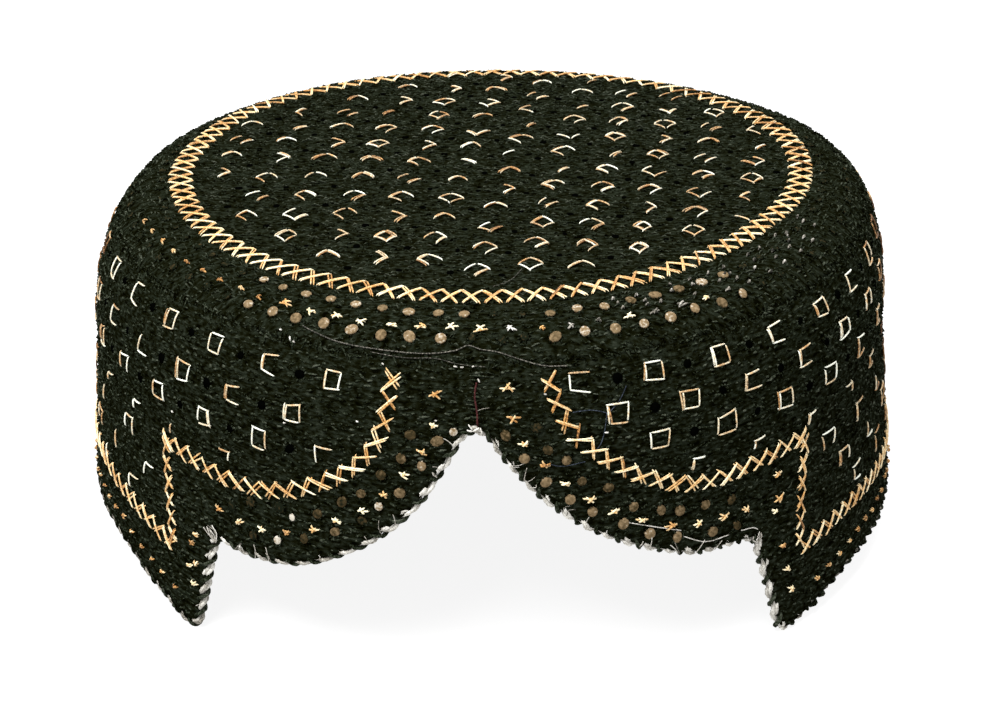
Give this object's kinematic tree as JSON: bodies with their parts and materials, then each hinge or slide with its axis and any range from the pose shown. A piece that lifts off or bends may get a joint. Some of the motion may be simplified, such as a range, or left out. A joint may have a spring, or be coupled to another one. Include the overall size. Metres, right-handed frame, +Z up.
{
  "type": "sindhi cap",
  "caption": "Round embroidered cap with a nearly flat crown and a side band whose front hem is cut in an arch, edged with cord.",
  "frame": {"origin": "on the table, under the middle of the cap's box", "axes": "+Z up through the crown, -Y to the front with the arched hem, +X to the right of someone who looks at the front"},
  "size_m": [0.1896, 0.1874, 0.0819],
  "materials": {
    "black_cloth": "matt black embroidery on padded cotton",
    "edging_cord": "twisted black and off-white thread",
    "gold_thread": "metallic gold thread",
    "mirror_disc": "small dull mirrored discs"
  },
  "bodies": {
    "root": {"crown": "black_cloth", "band": "black_cloth", "hem_cord": "edging_cord"}
  },
  "joints": []
}
